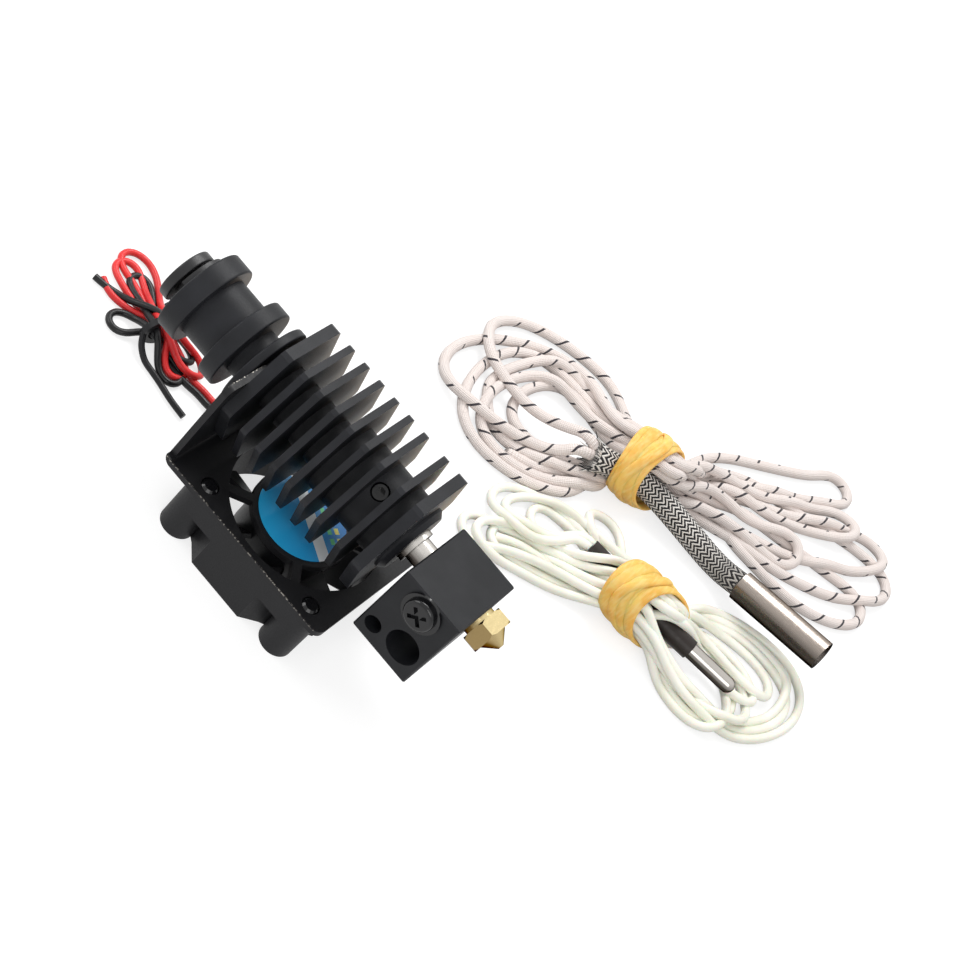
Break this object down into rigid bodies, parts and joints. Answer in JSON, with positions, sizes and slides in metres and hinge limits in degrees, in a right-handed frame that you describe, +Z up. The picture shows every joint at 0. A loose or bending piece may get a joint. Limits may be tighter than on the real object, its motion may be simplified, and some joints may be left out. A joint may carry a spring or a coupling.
{
  "type": "hotend assembly",
  "caption": "Finned hotend with groove mount, cooling fan on a bent bracket, heater block and nozzle, with a heater and a thermistor on folded leads lying beside it.",
  "frame": {"origin": "on the filament axis, at the top face of the upper mounting flange", "axes": "+X along the filament path towards the nozzle, +Z up from the back of the fan, which lies on the floor, +Y to the side"},
  "size_m": [0.1374, 0.1515, 0.0356],
  "materials": {
    "black_anodised": "matte black anodised",
    "brass": "turned and milled",
    "collet_plastic": "moulded acetal",
    "clip_plastic": "moulded",
    "ptfe": "extruded, waxy",
    "steel_polished": "polished stainless",
    "steel_tube": "drawn stainless tube",
    "screw_black": "black oxide, oiled",
    "bracket_black": "black coated sheet steel",
    "fan_plastic": "moulded, fine grain",
    "rotor_plastic": "moulded",
    "label_paper": "printed film",
    "pcb_green": "solder mask",
    "lamination": "stamped",
    "copper_wire": "enamelled",
    "bronze": "sintered",
    "magnet": "bonded ferrite",
    "ceramic": "pressed oxide",
    "fibreglass_white": "braided, with dark tracer",
    "sleeve_braid": "black and white braid",
    "band_amber": "translucent rubber",
    "lead_cream": "smooth cream insulation",
    "shrink_black": "shrink tube",
    "glass_bead": "glass",
    "pvc_red": "PVC insulation",
    "pvc_black": "PVC insulation"
  },
  "bodies": {
    "hotend": {"heatsink": "black_anodised", "heatbreak_set_screw": "screw_black", "coupler_insert": "brass", "ptfe_liner": "ptfe", "heatbreak": "steel_polished", "heater_block": "black_anodised", "block_washer": "screw_black", "block_screw": "screw_black", "nozzle": "brass", "fan_bracket": "bracket_black", "fan_frame": "fan_plastic", "fan_label": "label_paper", "fan_pcb": "pcb_green", "fan_stator": "lamination", "fan_coils": "copper_wire", "fan_bearing": "bronze", "fan_screws": "screw_black", "heater_sheath": "steel_tube", "heater_core": "ceramic", "heater_sleeve": "sleeve_braid", "heater_lead_hank": "fibreglass_white", "heater_band": "band_amber", "thermistor_sheath": "steel_tube", "thermistor_bead": "glass_bead", "thermistor_shrink": "shrink_black", "thermistor_lead_hank": "lead_cream", "thermistor_band": "band_amber", "fan_lead_red": "pvc_red", "fan_lead_black": "pvc_black", "fan_lead_hank": "pvc_red", "fan_lead_tie": "pvc_black"},
    "rotor": {"fan_rotor": "rotor_plastic", "fan_magnet_ring": "magnet", "fan_shaft": "steel_polished"},
    "collet_body": {"collet": "collet_plastic"},
    "clip_body": {"collet_clip": "clip_plastic"}
  },
  "joints": [
    {"name": "fan_spin", "type": "hinge", "parent": "hotend", "child": "rotor", "pos_m": [0.03665, 0, -0.02], "axis": [0, 0, 1], "continuous": true},
    {"name": "collet_slide", "type": "slide", "parent": "hotend", "child": "collet_body", "axis": [1, 0, 0], "range_m": [0, 0.0005]},
    {"name": "clip_slide", "type": "slide", "parent": "hotend", "child": "clip_body", "axis": [0, 1, 0], "range_m": [0, 0.012]}
  ]
}
